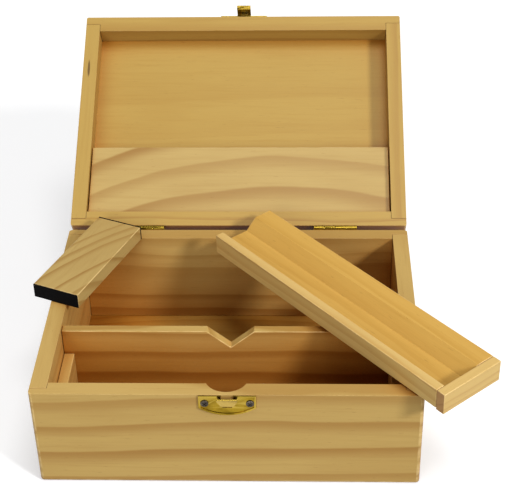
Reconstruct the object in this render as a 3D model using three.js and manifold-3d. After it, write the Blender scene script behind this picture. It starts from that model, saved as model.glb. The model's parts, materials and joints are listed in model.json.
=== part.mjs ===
// Hinged pine art supply box with its lid laid back, a lift-out pencil tray and a padded spacer block.
// Units are millimetres and +Z is up. The origin is the middle of the base's underside, +X is to the
// right and +Y is towards the hinges.
import * as THREE from 'three';
import { mergeVertices } from 'three/addons/utils/BufferGeometryUtils.js';
import Module from 'manifold-3d';

const wasm = await Module();
wasm.setup();

// ---------------------------------------------------------------- driving dimensions
const BOX_WIDTH = 250;
const BOX_DEPTH = 184;
const BASE_HEIGHT = 76.5;
const WALL = 11;
const RABBET = WALL / 2; // how far each side wall's end is let into the front and back walls
const GLUE_LINE = 0.3; // gap left between pieces that are glued or that rest on each other

const PANEL_RABBET = 5; // how far the bottom and the lid panel are let into the walls round them
const BOTTOM_THICKNESS = 4.6;
const DIVIDER_FRONT = -25.5;
const DIVIDER_THICKNESS = 6.5;
const DIVIDER_DROP = 2.5; // divider's top edge below the walls' top edges
const NOTCH_HALF_WIDTH = 16;
const NOTCH_DEPTH = 13.6;
const CLEAT_WIDTH = 7;
const CLEAT_TOP = 55;
const THUMB_SCOOP_RADIUS = 14.1;
const THUMB_SCOOP_REACH = 8.2; // from the front wall's inner face into its thickness
const THUMB_SCOOP_DEPTH = 25;

const LID_HEIGHT = 20;
const LID_FRONT_RAIL = 13;
const LID_BACK_RAIL = 11.5;
const LID_RECESS = 15;
const LID_OPEN_DEGREES = 149;
const BOARD_WIDTH = 56.5;
const BOARD_THICKNESS = 4;
const BOARD_SETBACK = 4; // the pocket board's face below the lid's rim
const BOARD_SIDE_GAP = 0.8;
const BATTEN_WIDTH = 6;

const LEFT_HINGE_X = -70.5;
const RIGHT_HINGE_X = 72.3;
const HINGE_LENGTH = 32;
const KNUCKLES = 4;
const KNUCKLE_GAP = 0.3;
const LEAF_HEIGHT = 14;
const LEAF_THICKNESS = 0.9;
const PIN_OFFSET = 2.3; // pin axis behind the back faces
const BARREL_RADIUS = 2.1;
const PIN_RADIUS = 0.8;
const PIN_BORE = 1;
const HINGE_SCREW_X = 9;
const HINGE_SCREW_DROP = 8;

const LATCH_X = 1;
const PLATE_HALF_WIDTH = 18.2;
const PLATE_THICKNESS = 1;
const PLATE_HEIGHT = 15.6;
const PLATE_RIM = 1.2; // width of the raised rim round a plate's sunk field
const PLATE_SINK = 0.45;
const PLATE_STRAIGHT = 9.8; // straight part of the plate's sides, above the bottom arc
const PLATE_SCREW_X = 14.4;
const PLATE_SCREW_DROP = 6.5;
const HOOK_FOOT = 68.6; // height where the catch's hook leaves its plate
const HOOK_TOP = 75.4;
const HOOK_LEAN = 2.6; // how far the hook's rim stands off the plate
const HOOK_HALF_FOOT = 4.5;
const HOOK_HALF_RIM = 6.5;
const LEVER_WIDTH = 10.7;
const LEVER_METAL = 0.8;
const LEVER_REACH = 7; // web's outer face in front of the lid's front face
const LEVER_PIN_REACH = 3.4;
const LEVER_PIN_RISE = 8;
const LEVER_DROP = 5; // lever's tip below the base's top edges when the box is shut
const LEVER_TOP = 14;
const LEVER_FLANGE_REACH = 4.6; // flanges' inner edges in front of the lid's front face
const LEVER_LIP_REACH = 3.35; // lip's end in front of the lid's front face, under the catch's rim
const EAR_X = 3.5;

const SCREW_HEAD_RADIUS = 2.6;
const SCREW_HEAD_HEIGHT = 1.2;
const SCREW_SHANK_RADIUS = 1;
const SCREW_LENGTH = 8;
const SCREW_HOLE_RADIUS = 1.3;

const TRAY_LENGTH = 226.6;
const TRAY_WIDTH = 50.2;
const TRAY_HEIGHT = 15.5;
const TRAY_RAIL = 6.5;
const TRAY_WELL_DEPTH = 8.2;
const TRAY_FLANK_FOOT = -2.8; // across the tray from its middle, the left side being positive
const TRAY_SHELF_EDGE = -11.4;
const TRAY_SIDE_LIFT = 1; // the rail's and the bed's undersides above the end rail's underside
const TRAY_CENTRE = [79.3, -7.4];
const TRAY_HEADING_DEGREES = 130.9;

const BLOCK_LENGTH = 89;
const BLOCK_WIDTH = 35;
const BLOCK_THICKNESS = 10.5;
const PAD_THICKNESS = 1;
const BLOCK_CENTRE = [-103.6, 44.8];
const BLOCK_HEADING_DEGREES = 67.3;

const ROUND_SIDES = 24;
const SCOOP_SIDES = 96;

// ---------------------------------------------------------------- derived places
const HALF_WIDTH = BOX_WIDTH / 2;
const HALF_DEPTH = BOX_DEPTH / 2;
const INNER_X = HALF_WIDTH - WALL;
const INNER_Y = HALF_DEPTH - WALL;
const DIVIDER_BACK = DIVIDER_FRONT + DIVIDER_THICKNESS;
const PIN_Y = HALF_DEPTH + PIN_OFFSET;
const TOP_REST = BASE_HEIGHT + GLUE_LINE; // underside of whatever lies on the base's top edges

// ---------------------------------------------------------------- materials
function finish(color, roughness, metalness) {
  return () => new THREE.MeshStandardMaterial({ color, roughness, metalness });
}

const pine = finish(0xd2b06e, 0.62, 0);
const palePine = finish(0xdcbf86, 0.62, 0);
const goldenPine = finish(0xd6a95c, 0.6, 0);
const brass = finish(0xc9a63a, 0.28, 1);
const darkSteel = finish(0x4a443c, 0.4, 0.9);
const springSteel = finish(0x8f9194, 0.35, 1);
const blackFelt = finish(0x101014, 0.95, 0);

// ---------------------------------------------------------------- geometry helpers
// Turns a closed three.js geometry into a solid that can be joined and cut.
function solidFrom(geometry) {
  const bare = geometry.clone();
  bare.deleteAttribute('normal');
  bare.deleteAttribute('uv');
  const merged = mergeVertices(bare, 1e-4);
  const index = merged.index.array;
  const triangles = [];
  for (let i = 0; i < index.length; i += 3) {
    const [a, b, c] = [index[i], index[i + 1], index[i + 2]];
    if (a !== b && b !== c && c !== a) triangles.push(a, b, c);
  }
  const mesh = new wasm.Mesh({
    numProp: 3,
    vertProperties: new Float32Array(merged.attributes.position.array),
    triVerts: new Uint32Array(triangles),
  });
  return new wasm.Manifold(mesh);
}

function geometryFrom(solid) {
  const mesh = solid.getMesh();
  const geometry = new THREE.BufferGeometry();
  geometry.setAttribute('position', new THREE.BufferAttribute(new Float32Array(mesh.vertProperties), 3));
  geometry.setIndex(new THREE.BufferAttribute(new Uint32Array(mesh.triVerts), 1));
  geometry.computeVertexNormals();
  return geometry;
}

function cut(geometry, ...tools) {
  return geometryFrom(tools.reduce((left, tool) => left.subtract(solidFrom(tool)), solidFrom(geometry)));
}

function join(...geometries) {
  return geometryFrom(geometries.map(solidFrom).reduce((left, right) => left.add(right)));
}

// A block from its low and high faces along X, Y and Z.
function block([x0, x1], [y0, y1], [z0, z1]) {
  const geometry = new THREE.BoxGeometry(x1 - x0, y1 - y0, z1 - z0);
  geometry.translate((x0 + x1) / 2, (y0 + y1) / 2, (z0 + z1) / 2);
  return geometry;
}

function rod(radius, length, axis, sides = ROUND_SIDES) {
  const geometry = new THREE.CylinderGeometry(radius, radius, length, sides);
  if (axis === 'x') geometry.rotateZ(Math.PI / 2);
  if (axis === 'z') geometry.rotateX(Math.PI / 2);
  return geometry;
}

function shapeOf(points) {
  return new THREE.Shape(points.map(([x, y]) => new THREE.Vector2(x, y)));
}

// An outline in X and Z, extruded along Y from y0 to y1.
function plateInXZ(shape, y0, y1) {
  const options = { depth: y1 - y0, bevelEnabled: false, curveSegments: 32 };
  const geometry = new THREE.ExtrudeGeometry(shape, options);
  geometry.rotateX(Math.PI / 2);
  geometry.translate(0, y1, 0);
  return geometry;
}

// An outline in Y and Z, extruded along X from x0 to x1.
function plateInYZ(shape, x0, x1) {
  const options = { depth: x1 - x0, bevelEnabled: false, curveSegments: 20 };
  const geometry = new THREE.ExtrudeGeometry(shape, options);
  geometry.rotateY(Math.PI / 2);
  geometry.rotateX(Math.PI / 2);
  geometry.translate(x0, 0, 0);
  return geometry;
}

function addPiece(group, name, geometry, material) {
  const mesh = new THREE.Mesh(geometry, material());
  mesh.name = name;
  group.add(mesh);
  return mesh;
}

// ---------------------------------------------------------------- screws
// A pan-head cross-recess screw along Y. Its head's underside is at y = 0 and its point is at +Y.
function screwGeometry() {
  const profile = [
    [0, -SCREW_LENGTH],
    [SCREW_SHANK_RADIUS, -SCREW_LENGTH + 2],
    [SCREW_SHANK_RADIUS, 0],
    [SCREW_HEAD_RADIUS, 0],
    [SCREW_HEAD_RADIUS, SCREW_HEAD_HEIGHT * 0.45],
    [SCREW_HEAD_RADIUS * 0.7, SCREW_HEAD_HEIGHT * 0.9],
    [0, SCREW_HEAD_HEIGHT],
  ];
  const body = new THREE.LatheGeometry(profile.map(([r, y]) => new THREE.Vector2(r, y)), 16);
  const slotLength = SCREW_HEAD_RADIUS * 1.15;
  const slotFloor = SCREW_HEAD_HEIGHT * 0.4;
  const slots = [0, 1].map((turn) => {
    const slot = block([-slotLength / 2, slotLength / 2], [slotFloor, SCREW_HEAD_HEIGHT + 1], [-0.3, 0.3]);
    slot.rotateY(turn * Math.PI / 2 + Math.PI / 4);
    return slot;
  });
  const screw = cut(body, ...slots);
  screw.rotateX(Math.PI);
  return screw;
}

const screwTemplate = screwGeometry();

// Places a screw with its head towards -Y (facing front) or +Y (facing back).
function addScrew(group, name, [x, y, z], facing, material) {
  const screw = addPiece(group, name, screwTemplate.clone(), material);
  screw.position.set(x, y, z);
  if (facing === 'back') screw.rotation.z = Math.PI;
}

// The hole for a screw's shank, from its head's underside at y along the screw.
function screwHole([x, y, z], facing) {
  const hole = rod(SCREW_HOLE_RADIUS, SCREW_LENGTH + 2, 'y');
  const inward = facing === 'front' ? 1 : -1;
  hole.translate(x, y + inward * (SCREW_LENGTH / 2), z);
  return hole;
}

const catchScrews = [-1, 1].map((side) => [
  LATCH_X + side * PLATE_SCREW_X,
  -HALF_DEPTH - PLATE_THICKNESS + PLATE_SINK - 0.15,
  BASE_HEIGHT - PLATE_SCREW_DROP,
]);
const hingeCentres = { left: LEFT_HINGE_X, right: RIGHT_HINGE_X };
const hingeScrewY = HALF_DEPTH + LEAF_THICKNESS + 0.15;

function hingeScrews(centre, z) {
  return [-1, 1].map((side) => [centre + side * HINGE_SCREW_X, hingeScrewY, z]);
}

// ---------------------------------------------------------------- frame walls
// The long front or back board of a rabbeted frame: its ends are cut back on the inside, so that the
// side boards' ends sit in them. side is -1 for the front board and +1 for the back board.
function longBoard(side, thickness, rabbet, z0, z1) {
  const outer = side * HALF_DEPTH;
  const inner = side * (HALF_DEPTH - thickness);
  const step = side * (HALF_DEPTH - thickness + rabbet);
  const shoulder = INNER_X - GLUE_LINE;
  const outline = shapeOf([
    [-HALF_WIDTH, outer], [HALF_WIDTH, outer], [HALF_WIDTH, step], [shoulder, step],
    [shoulder, inner], [-shoulder, inner], [-shoulder, step], [-HALF_WIDTH, step],
  ]);
  const geometry = new THREE.ExtrudeGeometry(outline, { depth: z1 - z0, bevelEnabled: false });
  geometry.translate(0, 0, z0);
  return geometry;
}

// A side board between the rabbets of the long boards.
function sideBoard(side, frontStep, backStep, z0, z1) {
  const faces = [side * INNER_X, side * HALF_WIDTH].sort((a, b) => a - b);
  return block(faces, [frontStep + GLUE_LINE, backStep - GLUE_LINE], [z0, z1]);
}

// The rebate that takes a bottom or lid panel, cut into the boards round it.
function panelRebate(frontInner, backInner, z0, z1) {
  const reach = PANEL_RABBET + GLUE_LINE;
  return block([-INNER_X - reach, INNER_X + reach], [frontInner - reach, backInner + reach], [z0, z1]);
}

function panel(frontInner, backInner, z0, z1) {
  return block(
    [-INNER_X - PANEL_RABBET, INNER_X + PANEL_RABBET],
    [frontInner - PANEL_RABBET, backInner + PANEL_RABBET],
    [z0, z1],
  );
}

// ---------------------------------------------------------------- base
const base = new THREE.Group();

const bottomRebate = panelRebate(-INNER_Y, INNER_Y, -1, BOTTOM_THICKNESS + GLUE_LINE);
const thumbScoop = rod(THUMB_SCOOP_RADIUS, THUMB_SCOOP_DEPTH * 2, 'z', SCOOP_SIDES);
thumbScoop.translate(0, -INNER_Y - THUMB_SCOOP_REACH + THUMB_SCOOP_RADIUS, BASE_HEIGHT);

const frontWall = cut(
  longBoard(-1, WALL, RABBET, 0, BASE_HEIGHT),
  bottomRebate,
  thumbScoop,
  ...catchScrews.map((place) => screwHole(place, 'front')),
);
const baseHingeScrews = Object.values(hingeCentres).flatMap((centre) => (
  hingeScrews(centre, BASE_HEIGHT - HINGE_SCREW_DROP)
));
const backWall = cut(
  longBoard(1, WALL, RABBET, 0, BASE_HEIGHT),
  bottomRebate,
  ...baseHingeScrews.map((place) => screwHole(place, 'back')),
);
addPiece(base, 'front_wall', frontWall, pine);
addPiece(base, 'back_wall', backWall, pine);
for (const [name, side] of [['left_wall', -1], ['right_wall', 1]]) {
  const step = INNER_Y + RABBET;
  addPiece(base, name, cut(sideBoard(side, -step, step, 0, BASE_HEIGHT), bottomRebate), palePine);
}
addPiece(base, 'bottom_panel', panel(-INNER_Y, INNER_Y, 0, BOTTOM_THICKNESS), pine);

// The divider stands on the bottom panel and has a V cut down from the middle of its top edge.
const floorRest = BOTTOM_THICKNESS + GLUE_LINE;
const dividerTop = BASE_HEIGHT - DIVIDER_DROP;
const dividerEnd = INNER_X - GLUE_LINE;
const dividerOutline = shapeOf([
  [-dividerEnd, floorRest], [dividerEnd, floorRest], [dividerEnd, dividerTop],
  [NOTCH_HALF_WIDTH, dividerTop], [0, dividerTop - NOTCH_DEPTH], [-NOTCH_HALF_WIDTH, dividerTop],
  [-dividerEnd, dividerTop],
]);
addPiece(base, 'divider', plateInXZ(dividerOutline, DIVIDER_FRONT, DIVIDER_BACK), palePine);

// Cleats on the side walls carry the tray's ends over the front compartment.
for (const [name, side] of [['left_tray_cleat', -1], ['right_tray_cleat', 1]]) {
  const outer = side * (INNER_X - GLUE_LINE);
  const faces = [outer, outer - side * CLEAT_WIDTH].sort((a, b) => a - b);
  const ends = [-INNER_Y + GLUE_LINE, DIVIDER_FRONT - GLUE_LINE];
  addPiece(base, name, block(faces, ends, [floorRest, CLEAT_TOP]), pine);
}

// ---------------------------------------------------------------- latch plates
const plateInner = 0.1; // gap between a plate and the wood behind it

// A half-moon plate: straight top, short straight sides and an arc below. top and the side length are
// measured along Z; direction is -1 when the arc is at the bottom and +1 when it is at the top.
function halfMoon(top, direction, inset = 0) {
  const sagitta = PLATE_HEIGHT - PLATE_STRAIGHT;
  const radius = (PLATE_HALF_WIDTH ** 2 + sagitta ** 2) / (2 * sagitta) - inset;
  const arcCentre = top + direction * (PLATE_HEIGHT - inset - radius);
  const halfWidth = PLATE_HALF_WIDTH - inset;
  const spread = Math.asin(halfWidth / radius);
  const middle = direction * Math.PI / 2;
  const shape = new THREE.Shape();
  shape.moveTo(LATCH_X - halfWidth, top + direction * inset);
  shape.lineTo(LATCH_X - halfWidth, arcCentre + direction * radius * Math.cos(spread));
  shape.absarc(
    LATCH_X, arcCentre, radius,
    middle + direction * spread, middle - direction * spread, direction > 0,
  );
  shape.lineTo(LATCH_X + halfWidth, top + direction * inset);
  return shape;
}

// The plate itself, with a field sunk inside its raised rim.
function latchPlateBody(top, direction) {
  const face = -HALF_DEPTH - plateInner - PLATE_THICKNESS;
  return cut(
    plateInXZ(halfMoon(top, direction), face, -HALF_DEPTH - plateInner),
    plateInXZ(halfMoon(top, direction, PLATE_RIM), face - 1, face + PLATE_SINK),
  );
}

// Catch on the base: the plate, open behind a hook that leans out from it and flares to its rim.
const catchTop = BASE_HEIGHT - GLUE_LINE;
const hookHeight = HOOK_TOP - HOOK_FOOT;
const hookLeanAngle = Math.atan2(HOOK_LEAN, hookHeight);
const hook = plateInXZ(
  shapeOf([
    [-HOOK_HALF_FOOT, -1], [HOOK_HALF_FOOT, -1], [HOOK_HALF_FOOT, 0],
    [HOOK_HALF_RIM, hookHeight * 0.75], [HOOK_HALF_RIM, Math.hypot(hookHeight, HOOK_LEAN)],
    [-HOOK_HALF_RIM, Math.hypot(hookHeight, HOOK_LEAN)], [-HOOK_HALF_RIM, hookHeight * 0.75],
    [-HOOK_HALF_FOOT, 0],
  ]),
  -LEVER_METAL, 0,
);
hook.rotateX(hookLeanAngle);
hook.translate(LATCH_X, -HALF_DEPTH - plateInner - 0.45, HOOK_FOOT);
const catchWindow = block(
  [LATCH_X - 4, LATCH_X + 4], [-HALF_DEPTH - 3, -HALF_DEPTH], [HOOK_FOOT + 1.5, BASE_HEIGHT + 1],
);
const catchSlot = block(
  [LATCH_X - 3.1, LATCH_X + 3.1], [-HALF_DEPTH - 3, -HALF_DEPTH], [HOOK_FOOT - 2.2, HOOK_FOOT - 1.1],
);
const windowedPlate = cut(
  latchPlateBody(catchTop, -1), catchWindow, catchSlot,
  ...catchScrews.map((place) => screwHole(place, 'front')),
);
addPiece(base, 'catch_plate', join(windowedPlate, hook), brass);
catchScrews.forEach((place, i) => {
  addScrew(base, ['left_catch_screw', 'right_catch_screw'][i], place, 'front', darkSteel);
});

// ---------------------------------------------------------------- lid
// The lid is drawn shut in a frame whose origin is on the hinge pins' axis, then laid back.
const lid = new THREE.Group();
lid.position.set(0, PIN_Y, BASE_HEIGHT);
lid.rotation.x = -THREE.MathUtils.degToRad(LID_OPEN_DEGREES);

function inLidFrame(geometry) {
  geometry.translate(0, -PIN_Y, 0);
  return geometry;
}

const lidRim = GLUE_LINE;
const recessFloor = lidRim + LID_RECESS;
const lidFrontInner = -HALF_DEPTH + LID_FRONT_RAIL;
const lidBackInner = HALF_DEPTH - LID_BACK_RAIL;
const lidRebate = panelRebate(lidFrontInner, lidBackInner, recessFloor - GLUE_LINE, LID_HEIGHT + 1);
const latchScrews = catchScrews.map(([x, y]) => [x, y, lidRim + PLATE_SCREW_DROP + 0.5]);
const lidHingeScrews = Object.values(hingeCentres).flatMap((centre) => hingeScrews(centre, HINGE_SCREW_DROP));

const lidFrontRail = cut(
  longBoard(-1, LID_FRONT_RAIL, LID_FRONT_RAIL / 2, lidRim, LID_HEIGHT),
  lidRebate,
  ...latchScrews.map((place) => screwHole(place, 'front')),
);
const lidBackRail = cut(
  longBoard(1, LID_BACK_RAIL, LID_BACK_RAIL / 2, lidRim, LID_HEIGHT),
  lidRebate,
  ...lidHingeScrews.map((place) => screwHole(place, 'back')),
);
addPiece(lid, 'lid_front_rail', inLidFrame(lidFrontRail), pine);
addPiece(lid, 'lid_back_rail', inLidFrame(lidBackRail), pine);
for (const [name, side] of [['lid_left_rail', -1], ['lid_right_rail', 1]]) {
  const frontStep = lidFrontInner - LID_FRONT_RAIL / 2;
  const backStep = lidBackInner + LID_BACK_RAIL / 2;
  const rail = cut(sideBoard(side, frontStep, backStep, lidRim, LID_HEIGHT), lidRebate);
  addPiece(lid, name, inLidFrame(rail), palePine);
}
const lidPanel = panel(lidFrontInner, lidBackInner, recessFloor, LID_HEIGHT);
addPiece(lid, 'lid_panel', inLidFrame(lidPanel), goldenPine);

// The pocket board closes the hinge side of the recess and stands off the panel on two battens.
const boardFace = lidRim + BOARD_SETBACK;
const boardBack = boardFace + BOARD_THICKNESS;
const boardEdges = [lidBackInner - BOARD_WIDTH, lidBackInner - GLUE_LINE];
const boardEnd = INNER_X - BOARD_SIDE_GAP;
addPiece(
  lid, 'pocket_board',
  inLidFrame(block([-boardEnd, boardEnd], boardEdges, [boardFace, boardBack])), palePine,
);
for (const [name, side] of [['left_pocket_batten', -1], ['right_pocket_batten', 1]]) {
  const outer = side * (INNER_X - GLUE_LINE);
  const faces = [outer, outer - side * BATTEN_WIDTH].sort((a, b) => a - b);
  const thickness = [boardBack + GLUE_LINE, recessFloor - GLUE_LINE];
  addPiece(lid, name, inLidFrame(block(faces, [boardEdges[0] + 5, boardEdges[1]], thickness)), pine);
}

// ---------------------------------------------------------------- hinges
// One leaf: a plate on the back face, with tubes round the pin at every other knuckle. direction is
// -1 for the base's leaf, below the pin, and +1 for the lid's leaf, above it. z is measured from the pin.
function hingeLeaf(centre, direction, firstKnuckle) {
  const plateY = [HALF_DEPTH + plateInner, HALF_DEPTH + plateInner + LEAF_THICKNESS];
  const clear = direction * (BARREL_RADIUS + 0.4);
  const plateZ = [clear, direction * LEAF_HEIGHT].sort((a, b) => a - b);
  const half = HINGE_LENGTH / 2;
  const parts = [block([centre - half, centre + half], plateY, plateZ)];
  const pitch = HINGE_LENGTH / KNUCKLES;
  for (let knuckle = firstKnuckle; knuckle < KNUCKLES; knuckle += 2) {
    const start = centre - half + knuckle * pitch + KNUCKLE_GAP / 2;
    const end = start + pitch - KNUCKLE_GAP;
    const tube = rod(BARREL_RADIUS, end - start, 'x');
    tube.translate((start + end) / 2, PIN_Y, 0);
    const neck = block([start, end], plateY, [0, clear + direction].sort((a, b) => a - b));
    parts.push(tube, neck);
  }
  const bore = rod(PIN_BORE, HINGE_LENGTH + 2, 'x');
  bore.translate(centre, PIN_Y, 0);
  const holes = hingeScrews(centre, direction * HINGE_SCREW_DROP).map((place) => screwHole(place, 'back'));
  return cut(join(...parts), bore, ...holes);
}

for (const [side, centre] of Object.entries(hingeCentres)) {
  const baseLeaf = hingeLeaf(centre, -1, 0);
  baseLeaf.translate(0, 0, BASE_HEIGHT);
  addPiece(base, `${side}_hinge_base_leaf`, baseLeaf, brass);
  addPiece(lid, `${side}_hinge_lid_leaf`, inLidFrame(hingeLeaf(centre, 1, 1)), brass);

  const pin = addPiece(base, `${side}_hinge_pin`, rod(PIN_RADIUS, HINGE_LENGTH - 0.4, 'x'), brass);
  pin.position.set(centre, PIN_Y, BASE_HEIGHT);

  hingeScrews(centre, BASE_HEIGHT - HINGE_SCREW_DROP).forEach((place, i) => {
    addScrew(base, `${side}_hinge_base_screw_${i + 1}`, place, 'back', brass);
  });
  hingeScrews(centre, HINGE_SCREW_DROP).forEach(([x, y, z], i) => {
    addScrew(lid, `${side}_hinge_lid_screw_${i + 1}`, [x, y - PIN_Y, z], 'back', brass);
  });
}

// ---------------------------------------------------------------- latch on the lid
// Plate with two ears that carry the lever's pin in front of the lid.
const latchTop = lidRim + 0.5;
const leverPin = [-HALF_DEPTH - LEVER_PIN_REACH, LEVER_PIN_RISE];
const ears = [-1, 1].map((side) => block(
  [LATCH_X + side * EAR_X - 0.4, LATCH_X + side * EAR_X + 0.4],
  [leverPin[0] - 1.8, -HALF_DEPTH - plateInner - 0.2],
  [leverPin[1] - 1.8, leverPin[1] + 1.8],
));
const leverBore = rod(PIN_BORE, LEVER_WIDTH + 4, 'x');
leverBore.translate(LATCH_X, ...leverPin);
const latchPlate = cut(
  join(latchPlateBody(latchTop, 1), ...ears), leverBore,
  ...latchScrews.map((place) => screwHole(place, 'front')),
);
addPiece(lid, 'latch_plate', inLidFrame(latchPlate), brass);
latchScrews.forEach(([x, y, z], i) => {
  addScrew(lid, ['left_latch_screw', 'right_latch_screw'][i], [x, y - PIN_Y, z], 'front', darkSteel);
});
const latchPin = addPiece(lid, 'latch_pin', rod(PIN_RADIUS, LEVER_WIDTH - 0.4, 'x'), brass);
latchPin.position.set(LATCH_X, leverPin[0] - PIN_Y, leverPin[1]);

// The lever is a channel: a web in front, two flanges on the pin and a lip that snaps under the catch.
const leverFront = -HALF_DEPTH - LEVER_REACH;
const flangeShape = new THREE.Shape();
flangeShape.moveTo(leverFront, -LEVER_DROP);
flangeShape.lineTo(-HALF_DEPTH - LEVER_FLANGE_REACH, -LEVER_DROP);
flangeShape.lineTo(-HALF_DEPTH - LEVER_FLANGE_REACH, leverPin[1] - 4);
flangeShape.absarc(...leverPin, 1.9, -Math.PI / 3, Math.PI * 0.6, false);
flangeShape.lineTo(leverFront + 1.6, LEVER_TOP);
flangeShape.lineTo(leverFront, LEVER_TOP);
const flanges = [-1, 1].map((side) => {
  const outer = side * LEVER_WIDTH / 2;
  const faces = [LATCH_X + outer, LATCH_X + outer - side * LEVER_METAL].sort((a, b) => a - b);
  return plateInYZ(flangeShape, ...faces);
});
const leverSpan = [LATCH_X - LEVER_WIDTH / 2, LATCH_X + LEVER_WIDTH / 2];
const leverWeb = block(leverSpan, [leverFront, leverFront + LEVER_METAL], [-LEVER_DROP, LEVER_TOP]);
const leverLip = block(
  leverSpan, [leverFront, -HALF_DEPTH - LEVER_LIP_REACH], [-LEVER_DROP, -LEVER_DROP + LEVER_METAL],
);
const lever = cut(join(leverWeb, leverLip, ...flanges), leverBore);
addPiece(lid, 'latch_lever', inLidFrame(lever), brass);

// The torsion spring's coil round the lever's pin, between the ears.
class CoilCurve extends THREE.Curve {
  getPoint(t) {
    const turns = 4;
    const angle = t * turns * 2 * Math.PI;
    return new THREE.Vector3((t - 0.5) * 4.4, Math.cos(angle) * 1.45, Math.sin(angle) * 1.45);
  }
}
const wire = new THREE.Shape();
wire.absarc(0, 0, 0.28, 0, Math.PI * 2, false);
const coil = new THREE.ExtrudeGeometry(wire, { steps: 56, extrudePath: new CoilCurve(), curveSegments: 3 });
const spring = addPiece(lid, 'latch_spring', coil, springSteel);
spring.position.set(LATCH_X, leverPin[0] - PIN_Y, leverPin[1]);

// ---------------------------------------------------------------- tray
// Lies across the base's top edges. Its own X runs from the end rail to the open end.
const tray = new THREE.Group();
tray.position.set(...TRAY_CENTRE, TOP_REST);
tray.rotation.z = THREE.MathUtils.degToRad(TRAY_HEADING_DEGREES);

const trayEndX = TRAY_LENGTH / 2;
const traySideY = TRAY_WIDTH / 2;
const trayInnerX = trayEndX - TRAY_RAIL;
const trayInnerY = traySideY - TRAY_RAIL;
addPiece(
  tray, 'tray_end_rail',
  block([-trayEndX, -trayInnerX], [-traySideY, traySideY], [0, TRAY_HEIGHT]), palePine,
);
addPiece(tray, 'tray_left_rail', block(
  [-trayInnerX + GLUE_LINE, trayEndX], [trayInnerY, traySideY], [TRAY_SIDE_LIFT, TRAY_HEIGHT],
), palePine);
// The bed is milled from one board: a well beside the rail, then a slanted flank up to a flat shelf.
const bed = shapeOf([
  [-traySideY, TRAY_SIDE_LIFT], [trayInnerY - GLUE_LINE, TRAY_SIDE_LIFT],
  [trayInnerY - GLUE_LINE, TRAY_HEIGHT - TRAY_WELL_DEPTH],
  [TRAY_FLANK_FOOT, TRAY_HEIGHT - TRAY_WELL_DEPTH],
  [TRAY_SHELF_EDGE, TRAY_HEIGHT], [-traySideY, TRAY_HEIGHT],
]);
addPiece(tray, 'tray_bed', plateInYZ(bed, -trayInnerX + GLUE_LINE, trayEndX), goldenPine);

// ---------------------------------------------------------------- spacer block
const spacer = new THREE.Group();
spacer.position.set(...BLOCK_CENTRE, TOP_REST);
spacer.rotation.z = THREE.MathUtils.degToRad(BLOCK_HEADING_DEGREES);

const blockEnd = BLOCK_LENGTH / 2;
const blockSide = BLOCK_WIDTH / 2;
addPiece(
  spacer, 'spacer_block',
  block([-blockEnd, blockEnd], [-blockSide, blockSide], [0, BLOCK_THICKNESS]), palePine,
);
for (const [name, side] of [['near_felt_pad', -1], ['far_felt_pad', 1]]) {
  const faces = [side * (blockEnd + 0.1), side * (blockEnd + 0.1 + PAD_THICKNESS)].sort((a, b) => a - b);
  addPiece(spacer, name, block(faces, [-blockSide, blockSide], [0, BLOCK_THICKNESS]), blackFelt);
}

// ---------------------------------------------------------------- whole box
const artBox = new THREE.Group();
artBox.add(base, lid, tray, spacer);

export default artBox;
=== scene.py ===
import json
from math import atan2, cos, radians, sin

import bmesh
import bpy
from mathutils import Matrix, Vector


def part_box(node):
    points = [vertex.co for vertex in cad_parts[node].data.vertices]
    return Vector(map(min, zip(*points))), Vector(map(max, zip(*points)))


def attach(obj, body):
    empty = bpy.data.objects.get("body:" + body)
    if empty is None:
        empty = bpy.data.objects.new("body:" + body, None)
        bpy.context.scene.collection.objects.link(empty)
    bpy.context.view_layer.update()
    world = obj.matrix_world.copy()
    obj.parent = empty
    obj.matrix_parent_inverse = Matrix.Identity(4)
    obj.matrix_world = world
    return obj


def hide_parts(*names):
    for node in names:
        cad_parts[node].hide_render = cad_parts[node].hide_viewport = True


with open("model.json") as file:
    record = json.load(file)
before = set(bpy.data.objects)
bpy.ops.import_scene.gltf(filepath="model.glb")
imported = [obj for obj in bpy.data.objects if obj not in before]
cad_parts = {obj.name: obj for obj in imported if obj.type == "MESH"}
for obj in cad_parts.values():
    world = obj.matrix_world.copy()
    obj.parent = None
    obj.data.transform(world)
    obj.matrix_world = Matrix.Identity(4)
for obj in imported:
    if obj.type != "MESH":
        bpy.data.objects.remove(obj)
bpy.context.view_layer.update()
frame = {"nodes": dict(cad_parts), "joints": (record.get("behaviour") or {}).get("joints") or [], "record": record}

MM = 0.001

# ------------------------------------------------------------------ where the turned pieces lie
LID_JOINT = next(j for j in frame["joints"] if j["name"] == "lid_hinge")
LID_OPEN = radians(LID_JOINT["range_deg"][1])
PIN = Vector(LID_JOINT["pos_m"])
SHUT_FROM_OPEN = (
    Matrix.Translation(PIN) @ Matrix.Rotation(LID_OPEN, 4, "X") @ Matrix.Translation(-PIN)
)


def middle(*nodes):
    """Middle of the box round some nodes."""
    boxes = [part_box(n) for n in nodes]
    low = [min(b[0][i] for b in boxes) for i in range(3)]
    high = [max(b[1][i] for b in boxes) for i in range(3)]
    return (Vector(low) + Vector(high)) / 2


def heading(tail, head):
    """Direction in plan from one node to another."""
    way = middle(head) - middle(tail)
    return atan2(way.y, way.x)


# The tray lies askew across the box, its closed end to the front right.
TRAY_HEADING = radians(130.9)
BLOCK_HEADING = heading("near_felt_pad", "far_felt_pad")
TRAY_FRAME = Matrix.Rotation(-TRAY_HEADING, 4, "Z") @ Matrix.Translation(
    -middle("tray_left_rail", "tray_bed", "tray_end_rail")
)
BLOCK_FRAME = Matrix.Rotation(-BLOCK_HEADING, 4, "Z") @ Matrix.Translation(-middle("spacer_block"))
IDENTITY = Matrix.Identity(4)


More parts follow.
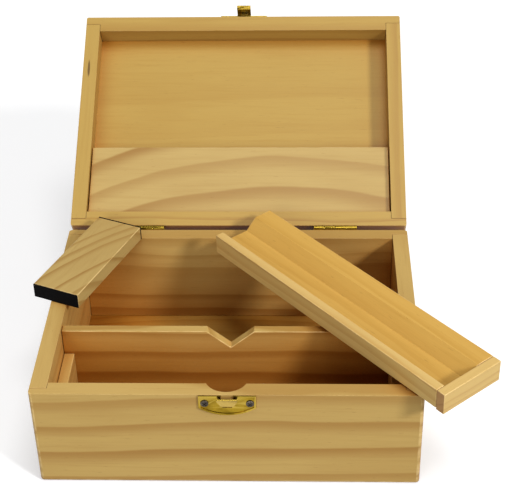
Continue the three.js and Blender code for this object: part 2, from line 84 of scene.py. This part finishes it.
# ------------------------------------------------------------------ node material helpers
class Graph:
    """Short calls for building a node tree."""

    def __init__(self, tree):
        self.tree = tree

    def node(self, kind, **settings):
        made = self.tree.nodes.new(kind)
        for name, value in settings.items():
            setattr(made, name, value)
        return made

    def feed(self, socket, value):
        if isinstance(value, bpy.types.NodeSocket):
            self.tree.links.new(value, socket)
        elif value is not None:
            socket.default_value = value

    def math(self, operation, a, b=None, c=None, clamp=False):
        made = self.node("ShaderNodeMath", operation=operation, use_clamp=clamp)
        for socket, value in zip(made.inputs, (a, b, c)):
            self.feed(socket, value)
        return made.outputs[0]

    def smooth(self, value, low, high):
        made = self.node("ShaderNodeMapRange", interpolation_type="SMOOTHSTEP")
        for name, v in (("Value", value), ("From Min", low), ("From Max", high)):
            self.feed(made.inputs[name], v)
        return made.outputs["Result"]

    def mix(self, amount, a, b, blend="MIX"):
        made = self.node("ShaderNodeMix", data_type="RGBA", blend_type=blend)
        self.feed(made.inputs[0], amount)
        self.feed(made.inputs[6], a)
        self.feed(made.inputs[7], b)
        return made.outputs[2]

    def noise(self, vector, scale, detail=2.0, rough=0.5, w=None, kind="3D"):
        made = self.node("ShaderNodeTexNoise", noise_dimensions=kind)
        self.feed(made.inputs["Scale"], scale)
        self.feed(made.inputs["Detail"], detail)
        self.feed(made.inputs["Roughness"], rough)
        if kind != "1D":
            self.feed(made.inputs["Vector"], vector)
        if w is not None:
            self.feed(made.inputs["W"], w)
        return made.outputs["Fac"]

    def stretch(self, vector, scale):
        made = self.node("ShaderNodeVectorMath", operation="MULTIPLY")
        self.feed(made.inputs[0], vector)
        made.inputs[1].default_value = scale
        return made.outputs[0]

    def bump(self, height, strength, distance):
        made = self.node("ShaderNodeBump")
        made.inputs["Strength"].default_value = strength
        made.inputs["Distance"].default_value = distance
        self.feed(made.inputs["Height"], height)
        return made.outputs[0]


def new_material(name):
    """An empty node material, and the graph that fills it."""
    material = bpy.data.materials.new(name)
    material.use_nodes = True
    g = Graph(material.node_tree)
    g.tree.nodes.clear()
    return material, g


def linear(*rgb):
    """A colour given as 0 to 255 display values, as the linear values a shader takes."""
    out = []
    for v in rgb:
        v /= 255
        out.append(v / 12.92 if v <= 0.04045 else ((v + 0.055) / 1.055) ** 2.4)
    return (*out, 1.0)


# Bow and Apex arch the growth lines, Slope and Depth tilt them, Shift moves them and seeds the
# rest, Lines is how many a metre holds, Uneven spaces them unevenly. Contrast and Fine set how
# strongly lines and fibres show. Pitch places a resin streak. Hollow sets how much painted shade
# darkens sheltered wood, and Outside is the sign of the broad face kept clear of that shade.
PINE_INPUTS = {
    "Bow": 0.0, "Apex": 0.0, "Slope": 0.0, "Depth": 0.8, "Shift": 0.0,
    "Lines": 110.0, "Contrast": 0.5, "Fine": 0.5, "Gloss": 0.0, "Hollow": 0.0,
    "Uneven": 2.2, "Pitch": 0.0, "Outside": 0.0,
}


def pine_group():
    """Plain-sawn pine: growth lines, fibre, mottling, flecks, end grain, worn edges, painted shade in hollows and
    bump.
    """
    tree = bpy.data.node_groups.new("pine", "ShaderNodeTree")
    face = tree.interface
    face.new_socket("Board", in_out="INPUT", socket_type="NodeSocketVector")
    face.new_socket("Facing", in_out="INPUT", socket_type="NodeSocketVector")
    for name in ("Pale", "Dark"):
        face.new_socket(name, in_out="INPUT", socket_type="NodeSocketColor")
    for name, value in PINE_INPUTS.items():
        face.new_socket(name, in_out="INPUT", socket_type="NodeSocketFloat").default_value = value
    face.new_socket("Shader", in_out="OUTPUT", socket_type="NodeSocketShader")
    g = Graph(tree)
    take = g.node("NodeGroupInput").outputs
    board, seed = take["Board"], take["Shift"]
    apart = g.node("ShaderNodeSeparateXYZ")
    g.feed(apart.inputs[0], board)
    along, across, through = apart.outputs

    # Where a point lies among the growth rings: bowed into arches, tilted and slightly wavy.
    shifted = g.node("ShaderNodeCombineXYZ")
    g.feed(shifted.inputs[0], along)
    g.feed(shifted.inputs[1], g.math("ADD", across, seed))
    g.feed(shifted.inputs[2], through)
    moved = shifted.outputs[0]
    from_apex = g.math("SUBTRACT", along, take["Apex"])
    arch = g.math("MULTIPLY", g.math("MULTIPLY", from_apex, from_apex), take["Bow"])
    ring = g.math("ADD", across, arch)
    ring = g.math("MULTIPLY_ADD", along, take["Slope"], ring)
    ring = g.math("MULTIPLY_ADD", through, take["Depth"], ring)
    wave = g.noise(g.stretch(moved, (6.0, 14.0, 14.0)), 1.0, 1.5)
    ring = g.math("MULTIPLY_ADD", g.math("SUBTRACT", wave, 0.5), 0.016, ring)
    ripple = g.noise(g.stretch(moved, (22.0, 120.0, 120.0)), 1.0, 2.0)
    ring = g.math("MULTIPLY_ADD", g.math("SUBTRACT", ripple, 0.5), 0.0016, ring)
    count = g.math("MULTIPLY_ADD", ring, take["Lines"], g.math("MULTIPLY", seed, 37.0))
    uneven = g.noise(None, 0.45, 1.0, w=count, kind="1D")
    count = g.math("MULTIPLY_ADD", uneven, take["Uneven"], count)
    year = g.math("FRACT", count)

    # Each year darkens slowly to late wood, then starts again sharply.
    rise = g.smooth(year, 0.42, 0.92)
    drop = g.math("SUBTRACT", 1.0, g.smooth(year, 0.92, 1.0))
    late = g.math("MULTIPLY", rise, drop)
    strength = g.smooth(g.noise(None, 0.31, 1.0, w=count, kind="1D"), 0.3, 0.7)
    late = g.math("MULTIPLY", late, g.math("MULTIPLY_ADD", strength, 0.5, 0.5))
    late = g.math("MULTIPLY", late, take["Contrast"], clamp=True)

    mottle = g.noise(g.stretch(moved, (9.0, 34.0, 34.0)), 1.0, 3.0)
    fibre = g.noise(g.stretch(moved, (70.0, 2600.0, 2600.0)), 1.0, 3.0, 0.6)
    streak = g.noise(g.stretch(moved, (16.0, 420.0, 420.0)), 1.0, 3.0, 0.6)
    fleck = g.noise(g.stretch(moved, (130.0, 1500.0, 1500.0)), 1.0, 1.0)
    fleck = g.math("MULTIPLY", g.smooth(fleck, 0.71, 0.8), 0.35)

    colour = g.mix(late, take["Pale"], take["Dark"])
    warm = g.mix(0.5, take["Pale"], take["Dark"])
    colour = g.mix(g.math("MULTIPLY", g.smooth(mottle, 0.42, 0.75), 0.35), colour, warm)
    lines = g.math("MULTIPLY", g.smooth(streak, 0.45, 0.8), g.math("MULTIPLY", take["Fine"], 0.4))
    colour = g.mix(lines, colour, take["Dark"])
    colour = g.mix(fleck, colour, linear(120, 78, 34))
    # One small resin streak, a set way along the board.
    beside = g.math("DIVIDE", g.math("SUBTRACT", along, take["Pitch"]), 0.009)
    aside = g.math("DIVIDE", g.math("ADD", through, g.math("MULTIPLY", ripple, 0.002)), 0.0011)
    spread = g.math("ADD", g.math("MULTIPLY", beside, beside), g.math("MULTIPLY", aside, aside))
    streaked = g.math("SUBTRACT", 1.0, g.smooth(spread, 0.3, 1.0))
    present = g.math("GREATER_THAN", g.math("ABSOLUTE", take["Pitch"]), 0.001)
    streaked = g.math("MULTIPLY", streaked, g.math("MULTIPLY", present, 0.75))
    colour = g.mix(streaked, colour, linear(74, 48, 24))
    light = g.node("ShaderNodeHueSaturation")
    g.feed(light.inputs["Color"], colour)
    shade = g.math("MULTIPLY", g.math("SUBTRACT", fibre, 0.5), take["Fine"])
    g.feed(light.inputs["Value"], g.math("MULTIPLY_ADD", shade, 0.28, 1.0))
    colour = light.outputs[0]

    # End grain is darker and pinker, with its rings closer and its pores speckled.
    facing = g.node("ShaderNodeSeparateXYZ")
    g.feed(facing.inputs[0], take["Facing"])
    end = g.smooth(g.math("ABSOLUTE", facing.outputs[0]), 0.75, 0.92)
    pores = g.noise(g.stretch(moved, (900.0, 2400.0, 2400.0)), 1.0, 2.0)
    end_colour = g.mix(g.math("MULTIPLY", pores, 0.6), linear(196, 150, 104), linear(128, 78, 44))
    end_colour = g.mix(g.math("MULTIPLY", late, 0.8), end_colour, linear(132, 74, 38))
    colour = g.mix(g.math("MULTIPLY", end, 0.75), colour, end_colour)

    # Sanded edges are burnished: a little lighter and smoother than the faces.
    eased = g.node("ShaderNodeAttribute", attribute_name="eased").outputs["Fac"]
    worn = g.noise(g.stretch(moved, (90.0, 220.0, 220.0)), 1.0, 2.0)
    worn = g.math("MULTIPLY", eased, g.smooth(worn, 0.3, 0.65))
    colour = g.mix(g.math("MULTIPLY", worn, 0.42), colour, linear(238, 210, 152))

    # Painted shade: where ambient occlusion finds the wood sheltered, its colour is darkened and reddened, and in
    # the most enclosed corners it is darkened further towards grey-brown.
    open_sky = g.node("ShaderNodeAmbientOcclusion", samples=6)
    open_sky.inputs["Distance"].default_value = 0.085
    sheltered = g.math("SUBTRACT", 1.0, g.smooth(open_sky.outputs["AO"], 0.2, 0.86))
    painted_shade_tint = g.mix(1.0, colour, (0.98, 0.57, 0.2, 1.0), "MULTIPLY")
    outer_face = g.smooth(g.math("MULTIPLY", facing.outputs[2], take["Outside"]), 0.5, 0.8)
    hollow = g.math("MULTIPLY", take["Hollow"], g.math("SUBTRACT", 1.0, outer_face))
    colour = g.mix(g.math("MULTIPLY", sheltered, hollow), colour, painted_shade_tint)
    # Painted shade, deeper still, in the most enclosed corners.
    deepest = g.math("SUBTRACT", 1.0, g.smooth(open_sky.outputs["AO"], 0.04, 0.3))
    painted_deep_shade = g.mix(1.0, colour, (0.4, 0.3, 0.26, 1.0), "MULTIPLY")
    colour = g.mix(g.math("MULTIPLY", deepest, hollow), colour, painted_deep_shade)

    rough = g.math("MULTIPLY_ADD", fibre, 0.18, 0.42)
    rough = g.math("MULTIPLY_ADD", late, -0.12, rough)
    rough = g.math("MULTIPLY_ADD", worn, -0.08, rough)
    rough = g.math("MULTIPLY_ADD", end, 0.15, rough)
    relief = g.math("MULTIPLY_ADD", fibre, 0.5, g.math("MULTIPLY", late, 0.5))
    relief = g.math("MULTIPLY_ADD", g.math("MULTIPLY", end, pores), 0.8, relief)
    bump = g.bump(relief, 0.35, 0.12 * MM)

    shader = g.node("ShaderNodeBsdfPrincipled")
    g.feed(shader.inputs["Base Color"], colour)
    g.feed(shader.inputs["Roughness"], rough)
    g.feed(shader.inputs["Normal"], bump)
    shader.inputs["Specular IOR Level"].default_value = 0.22
    g.feed(shader.inputs["Coat Weight"], take["Gloss"])
    shader.inputs["Coat Roughness"].default_value = 0.25
    g.feed(g.node("NodeGroupOutput").inputs[0], shader.outputs[0])
    return tree


PINE = pine_group()


def pine(name, to_board, pale, dark, **values):
    """Pine for one board. to_board turns the row frame into the board's own: X along the grain."""
    material, g = new_material(name)
    place = g.node("ShaderNodeTexCoord")
    turn = to_board.to_euler("XYZ")

    def turned(source, kind, shift):
        made = g.node("ShaderNodeMapping", vector_type=kind)
        g.feed(made.inputs["Vector"], source)
        made.inputs["Rotation"].default_value = turn
        if shift:
            made.inputs["Location"].default_value = to_board.translation
        return made.outputs[0]

    wood = g.node("ShaderNodeGroup", node_tree=PINE)
    g.feed(wood.inputs["Board"], turned(place.outputs["Object"], "POINT", True))
    g.feed(wood.inputs["Facing"], turned(place.outputs["Normal"], "NORMAL", False))
    wood.inputs["Pale"].default_value = linear(*pale)
    wood.inputs["Dark"].default_value = linear(*dark)
    for key, value in values.items():
        wood.inputs[key].default_value = value
    g.feed(g.node("ShaderNodeOutputMaterial").inputs[0], wood.outputs[0])
    return material


def metal(name, colour, deep, rough):
    """Plated metal with a duller tarnish, fine brushing, smudges and brighter rubbed edges."""
    material, g = new_material(name)
    place = g.node("ShaderNodeTexCoord").outputs["Object"]
    smudge = g.noise(place, 120.0, 2.0)
    brushed = g.noise(g.stretch(place, (180.0, 3000.0, 3000.0)), 1.0, 2.0)
    edge = g.node("ShaderNodeNewGeometry").outputs["Pointiness"]
    rubbed = g.smooth(edge, 0.52, 0.6)
    base = g.mix(g.smooth(smudge, 0.35, 0.75), linear(*colour), linear(*deep))
    bright = linear(*(min(255, v + 40) for v in colour))
    base = g.mix(g.math("MULTIPLY", rubbed, 0.6), base, bright)
    shader = g.node("ShaderNodeBsdfPrincipled")
    shader.inputs["Metallic"].default_value = 1.0
    g.feed(shader.inputs["Base Color"], base)
    tone = g.math("MULTIPLY_ADD", smudge, 0.2, rough - 0.08)
    g.feed(shader.inputs["Roughness"], g.math("MULTIPLY_ADD", rubbed, -0.06, tone))
    g.feed(shader.inputs["Normal"], g.bump(brushed, 0.06, 0.04 * MM))
    g.feed(g.node("ShaderNodeOutputMaterial").inputs[0], shader.outputs[0])
    return material


def felt(name):
    """Short-nap black felt: mottled, matt, with a faint sheen and a fibrous bump."""
    material, g = new_material(name)
    place = g.node("ShaderNodeTexCoord").outputs["Object"]
    nap = g.noise(place, 2600.0, 4.0, 0.7)
    clumps = g.noise(place, 420.0, 3.0)
    lint = g.smooth(g.noise(place, 1500.0, 1.0), 0.72, 0.8)
    base = g.mix(nap, linear(1, 1, 3), linear(6, 6, 9))
    base = g.mix(g.math("MULTIPLY", clumps, 0.4), base, linear(3, 3, 6))
    base = g.mix(g.math("MULTIPLY", lint, 0.2), base, linear(60, 58, 62))
    shader = g.node("ShaderNodeBsdfPrincipled")
    g.feed(shader.inputs["Base Color"], base)
    shader.inputs["Roughness"].default_value = 0.95
    shader.inputs["Sheen Weight"].default_value = 0.02
    shader.inputs["Specular IOR Level"].default_value = 0.1
    fibres = g.math("MULTIPLY_ADD", clumps, 0.6, nap)
    g.feed(shader.inputs["Normal"], g.bump(fibres, 0.7, 0.3 * MM))
    g.feed(g.node("ShaderNodeOutputMaterial").inputs[0], shader.outputs[0])
    return material


# ------------------------------------------------------------------ boards with eased edges
WELD_REACH = 0.004 * MM
EASED_BREADTH = 0.45 * MM


def near(a, b, tolerance=0.05 * MM):
    return abs(a - b) < tolerance


def sharp_edges(bm, shortest=1.5 * MM):
    return [
        e for e in bm.edges
        if len(e.link_faces) == 2 and e.calc_length() > shortest
        and e.calc_face_angle(0) > radians(25)
    ]


def ease(bm, edges, radius, segments):
    """Rounds edges and marks the narrow new faces as eased."""
    if not edges:
        return
    made = bmesh.ops.bevel(
        bm, geom=edges, offset=radius, offset_type="OFFSET", segments=segments, profile=0.5,
        affect="EDGES", clamp_overlap=True,
    )
    layer = bm.faces.layers.float["eased"]
    for f in made["faces"]:
        if f.is_valid and f.calc_area() < EASED_BREADTH * f.calc_perimeter():
            f[layer] = 1.0


def eased_board(node, body, material, space, outer=None, big=0.0, small=0.45):
    """Stands in for a board: sharp edges are eased, and those that outer() picks are rounded.

    Both radii, big and small, are in millimetres.
    """
    mesh = bpy.data.meshes.new(node + "_eased")
    bm = bmesh.new()
    bm.from_mesh(frame["nodes"][node].data)
    bm.transform(space)
    bmesh.ops.remove_doubles(bm, verts=bm.verts, dist=WELD_REACH)
    bmesh.ops.dissolve_limit(bm, angle_limit=radians(0.5), verts=bm.verts, edges=bm.edges)
    bm.faces.layers.float.new("eased")
    if outer:
        rounded = [e for e in sharp_edges(bm) if outer(e.verts[0].co, e.verts[1].co)]
        ease(bm, rounded, big * MM, 5)
    # Edges of the rounding just made are too blunt to be picked again.
    ease(bm, [e for e in sharp_edges(bm) if e.calc_face_angle(0) > radians(50)], small * MM, 2)
    bm.transform(space.inverted())
    bm.to_mesh(mesh)
    bm.free()
    mesh.materials.append(material)
    mesh.set_sharp_from_angle(angle=radians(30))
    # The broad faces stay flat, so that only the easing is shaded as round.
    for polygon, value in zip(mesh.polygons, mesh.attributes["eased"].data):
        polygon.use_smooth = value.value > 0.5
    piece = bpy.data.objects.new(node + "_board", mesh)
    bpy.context.scene.collection.objects.link(piece)
    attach(piece, body)
    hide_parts(node)
    return piece


def outer_edges(nodes, space, rim):
    """Picks the upright corners of a row of boards, and their outer edges at the rim."""
    points = [space @ v.co for n in nodes for v in frame["nodes"][n].data.vertices]
    low = Vector(min(p[i] for p in points) for i in range(3))
    high = Vector(max(p[i] for p in points) for i in range(3))
    level = high.z if rim == "top" else low.z

    def at_side(p):
        return near(p.x, low.x) or near(p.x, high.x)

    def at_end(p):
        return near(p.y, low.y) or near(p.y, high.y)

    def picks(a, b):
        at_rim = near(a.z, level) and near(b.z, level)
        side = at_side(a) and at_side(b)
        end = at_end(a) and at_end(b)
        return (at_rim and (side or end)) or (side and end and not near(a.z, b.z))

    return picks


base_outer = outer_edges(("front_wall", "back_wall", "left_wall", "right_wall"), IDENTITY, "bottom")
lid_outer = outer_edges(
    ("lid_front_rail", "lid_back_rail", "lid_left_rail", "lid_right_rail"), SHUT_FROM_OPEN, "top"
)
AXES = {"X": Vector((1, 0, 0)), "Y": Vector((0, 1, 0)), "Z": Vector((0, 0, 1))}


def board_frame(space, centre, grain="X", face="Z"):
    """From the row frame to a board's own: X along the grain, Z out of its broad face."""
    x, z = AXES[grain], AXES[face]
    rows = Matrix((x, z.cross(x), z)).to_4x4()
    return rows @ Matrix.Translation(-(space @ centre)) @ space


# Each pair is the pale early wood and the dark late wood.
WALL_TONES = ((194, 162, 96), (158, 114, 50))
LID_TONES = ((178, 146, 76), (150, 106, 42))
PANEL_TONES = ((177, 145, 74), (156, 114, 42))
BOARD_TONES = ((184, 156, 96), (150, 110, 52))
TRAY_TONES = ((216, 184, 116), (184, 136, 66))
FLOOR_TONES = ((207, 164, 82), (182, 132, 50))

BOARDS = [
    # node, body, slot, space, grain, face, outer, big radius, tones, grain values
    ("front_wall", "base", "wall_pine", IDENTITY, "X", "Y", base_outer, 2.4, WALL_TONES,
     dict(Outside=-1, Hollow=1.0, Shift=0.1383, Lines=-45, Slope=0.028, Contrast=0.8, Depth=0.2,
          Uneven=0.3)),
    ("back_wall", "base", "wall_pine", IDENTITY, "X", "Y", base_outer, 2.4, WALL_TONES,
     dict(Outside=1, Hollow=1.0, Shift=0.41, Lines=-52, Slope=-0.01, Contrast=0.8, Depth=0.3)),
    ("left_wall", "base", "wall_pine", IDENTITY, "Y", "X", base_outer, 2.4, WALL_TONES,
     dict(Outside=-1, Hollow=0.7, Shift=0.73, Lines=60, Slope=0.02, Contrast=0.6, Depth=0.5)),
    ("right_wall", "base", "wall_pine", IDENTITY, "Y", "X", base_outer, 2.4, WALL_TONES,
     dict(Outside=1, Hollow=0.8, Shift=0.92, Lines=64, Slope=-0.015, Contrast=0.6, Depth=0.5)),
    ("bottom_panel", "base", "panel_pine", IDENTITY, "X", "Z", None, 0, PANEL_TONES,
     dict(Hollow=1.0, Shift=1.31, Lines=70, Bow=0.7, Contrast=0.7)),
    ("divider", "base", "wall_pine", IDENTITY, "X", "Y", None, 0, WALL_TONES,
     dict(Hollow=1.0, Shift=1.66, Lines=-64, Contrast=0.9, Depth=0.2, Uneven=0.8)),
    ("left_tray_cleat", "base", "wall_pine", IDENTITY, "Y", "X", None, 0, WALL_TONES,
     dict(Hollow=0.5, Shift=1.8, Lines=90)),
    ("right_tray_cleat", "base", "wall_pine", IDENTITY, "Y", "X", None, 0, WALL_TONES,
     dict(Hollow=0.5, Shift=1.95, Lines=90)),
    ("lid_front_rail", "lid", "wall_pine", SHUT_FROM_OPEN, "X", "Y", lid_outer, 1.4, LID_TONES,
     dict(Hollow=0.15, Shift=2.1, Lines=95, Contrast=0.5)),
    ("lid_back_rail", "lid", "wall_pine", SHUT_FROM_OPEN, "X", "Y", lid_outer, 1.4, LID_TONES,
     dict(Hollow=1.0, Shift=2.35, Lines=95, Contrast=0.5)),
    ("lid_left_rail", "lid", "wall_pine", SHUT_FROM_OPEN, "Y", "X", lid_outer, 1.4, LID_TONES,
     dict(Hollow=0.4, Shift=2.52, Lines=100, Contrast=0.45, Pitch=-0.045)),
    ("lid_right_rail", "lid", "wall_pine", SHUT_FROM_OPEN, "Y", "X", lid_outer, 1.4, LID_TONES,
     dict(Hollow=0.4, Shift=2.77, Lines=100, Contrast=0.5)),
    ("lid_panel", "lid", "panel_pine", SHUT_FROM_OPEN, "X", "Z", None, 0, PANEL_TONES,
     dict(Hollow=1.0, Shift=3.07, Lines=24, Contrast=0.3, Slope=0.02, Fine=0.6)),
    ("pocket_board", "lid", "wall_pine", SHUT_FROM_OPEN, "X", "Z", None, 0, BOARD_TONES,
     dict(Hollow=1.0, Shift=3.405, Lines=-36, Bow=-1.7, Apex=0.03, Contrast=1.0, Depth=0.4,
          Uneven=0.3)),
    ("left_pocket_batten", "lid", "wall_pine", SHUT_FROM_OPEN, "Y", "Z", None, 0, LID_TONES,
     dict(Shift=3.6)),
    ("right_pocket_batten", "lid", "wall_pine", SHUT_FROM_OPEN, "Y", "Z", None, 0, LID_TONES,
     dict(Shift=3.7)),
    ("tray_end_rail", "tray", "wall_pine", TRAY_FRAME, "Y", "X", None, 0, TRAY_TONES,
     dict(Shift=4.1, Lines=90, Contrast=0.5)),
    ("tray_left_rail", "tray", "wall_pine", TRAY_FRAME, "X", "Y", None, 0, TRAY_TONES,
     dict(Shift=4.5, Lines=110, Contrast=0.55, Slope=0.01)),
    ("tray_bed", "tray", "panel_pine", TRAY_FRAME, "X", "Z", None, 0, FLOOR_TONES,
     dict(Shift=5.2, Lines=60, Bow=-0.25, Apex=-0.02, Contrast=0.4, Fine=0.6)),
    ("spacer_block", "spacer", "wall_pine", BLOCK_FRAME, "X", "Z", None, 0, BOARD_TONES,
     dict(Shift=5.6, Lines=75, Bow=1.6, Apex=-0.06, Slope=0.25, Contrast=0.8)),
]

for node, body, slot, space, grain, side, outer, big, tones, values in BOARDS:
    to_board = board_frame(space, middle(node), grain, side)
    material = pine(node + "_wood", to_board, *tones, Gloss=0.04, **values)
    eased_board(node, body, material, space, outer, big)

# ------------------------------------------------------------------ metal and felt
BRASS = metal("bright_brass", (154, 126, 34), (122, 97, 20), 0.26)
DARK_STEEL = metal("dark_steel", (92, 84, 74), (52, 46, 40), 0.42)
SPRING_STEEL = metal("spring_wire", (150, 150, 152), (110, 110, 112), 0.3)
FELT = felt("black_felt_nap")

METALS = {"brass": BRASS, "dark_screw": DARK_STEEL, "spring_steel": SPRING_STEEL}
for part in frame["record"]["subparts"]:
    shown = frame["nodes"][part["node"]]
    if part["material_slot"] in METALS:
        shown.data.materials.clear()
        shown.data.materials.append(METALS[part["material_slot"]])
        weld = shown.modifiers.new("weld", "WELD")
        weld.merge_threshold = WELD_REACH
        round_over = shown.modifiers.new("round_over", "BEVEL")
        round_over.width = 0.12 * MM
        round_over.segments = 2
        round_over.limit_method = "ANGLE"
        round_over.angle_limit = radians(40)

for node in ("near_felt_pad", "far_felt_pad"):
    eased_board(node, "spacer", FELT, BLOCK_FRAME, small=0.3)

# ------------------------------------------------------------------ floor, light and camera
FLOOR_REACH = 4.0
FLOOR_DROP = 0.05 * MM
corners = [(-1, -1), (1, -1), (1, 1), (-1, 1)]
floor_mesh = bpy.data.meshes.new("floor")
floor_mesh.from_pydata(
    [(x * FLOOR_REACH, y * FLOOR_REACH, 0) for x, y in corners], [], [(0, 1, 2, 3)]
)
floor = bpy.data.objects.new("floor", floor_mesh)
floor.location.z = -FLOOR_DROP
bpy.context.scene.collection.objects.link(floor)
paper = bpy.data.materials.new("pale_floor")
paper.use_nodes = True
paper_shader = paper.node_tree.nodes["Principled BSDF"]
paper_shader.inputs["Base Color"].default_value = (0.75, 0.75, 0.75, 1)
paper_shader.inputs["Roughness"].default_value = 0.9
paper_shader.inputs["Specular IOR Level"].default_value = 0.1
# A faint cool glow keeps the floor white under the warm room light.
paper_shader.inputs["Emission Color"].default_value = (0.87, 0.91, 1, 1)
paper_shader.inputs["Emission Strength"].default_value = 0.43
floor_mesh.materials.append(paper)
# The floor shows and takes shadows, but throws no light back up on the wood.
floor.visible_diffuse = False

ROOM_COLOUR = (1.0, 0.93, 0.78, 1)
ROOM_STRENGTH = 0.3
world = bpy.data.worlds.new("studio")
world.use_nodes = True
room = world.node_tree.nodes["Background"].inputs
room["Color"].default_value = ROOM_COLOUR
room["Strength"].default_value = ROOM_STRENGTH
bpy.context.scene.world = world

LIGHT_TARGET = Vector((0, 0.02, 0.07))


def softbox(name, way, distance, size, power):
    """A round lamp that faces the box from one direction."""
    lamp = bpy.data.lights.new(name, "AREA")
    lamp.shape = "DISK"
    lamp.size = size
    lamp.energy = power
    lit = bpy.data.objects.new(name, lamp)
    way = Vector(way).normalized()
    lit.location = LIGHT_TARGET + way * distance
    lit.rotation_euler = (-way).to_track_quat("-Z", "Y").to_euler()
    bpy.context.scene.collection.objects.link(lit)


softbox("key", (0.672, -0.509, 0.538), 6.0, 1.05, 235)
softbox("overhead", (0.15, -0.12, 1.0), 5.0, 2.4, 105)
softbox("front", (-0.4, -0.9, 0.35), 5.0, 2.6, 75)

# The camera stands to the right of the middle and above, looking down on the open box.
CAMERA_PLACE = (0.04933, -0.71754, 0.62703)
FOCAL_LENGTH = 93.43
YAW, PITCH, ROLL = radians(-2.601), radians(35.083), radians(-1.43)
forward = Vector((sin(YAW) * cos(PITCH), cos(YAW) * cos(PITCH), -sin(PITCH)))
level = Vector((cos(YAW), -sin(YAW), 0))
rise = level.cross(forward)
right = cos(ROLL) * level + sin(ROLL) * rise
up = -sin(ROLL) * level + cos(ROLL) * rise
lens = bpy.data.cameras.new("camera")
lens.sensor_fit = "HORIZONTAL"
lens.sensor_width = 36
lens.lens = FOCAL_LENGTH
lens.clip_start = 0.05
lens.clip_end = 20
camera = bpy.data.objects.new("camera", lens)
turn = Matrix((right, up, -forward)).transposed().to_4x4()
camera.matrix_world = Matrix.Translation(CAMERA_PLACE) @ turn
bpy.context.scene.collection.objects.link(camera)
bpy.context.scene.camera = camera
bpy.context.scene.view_settings.view_transform = "Standard"
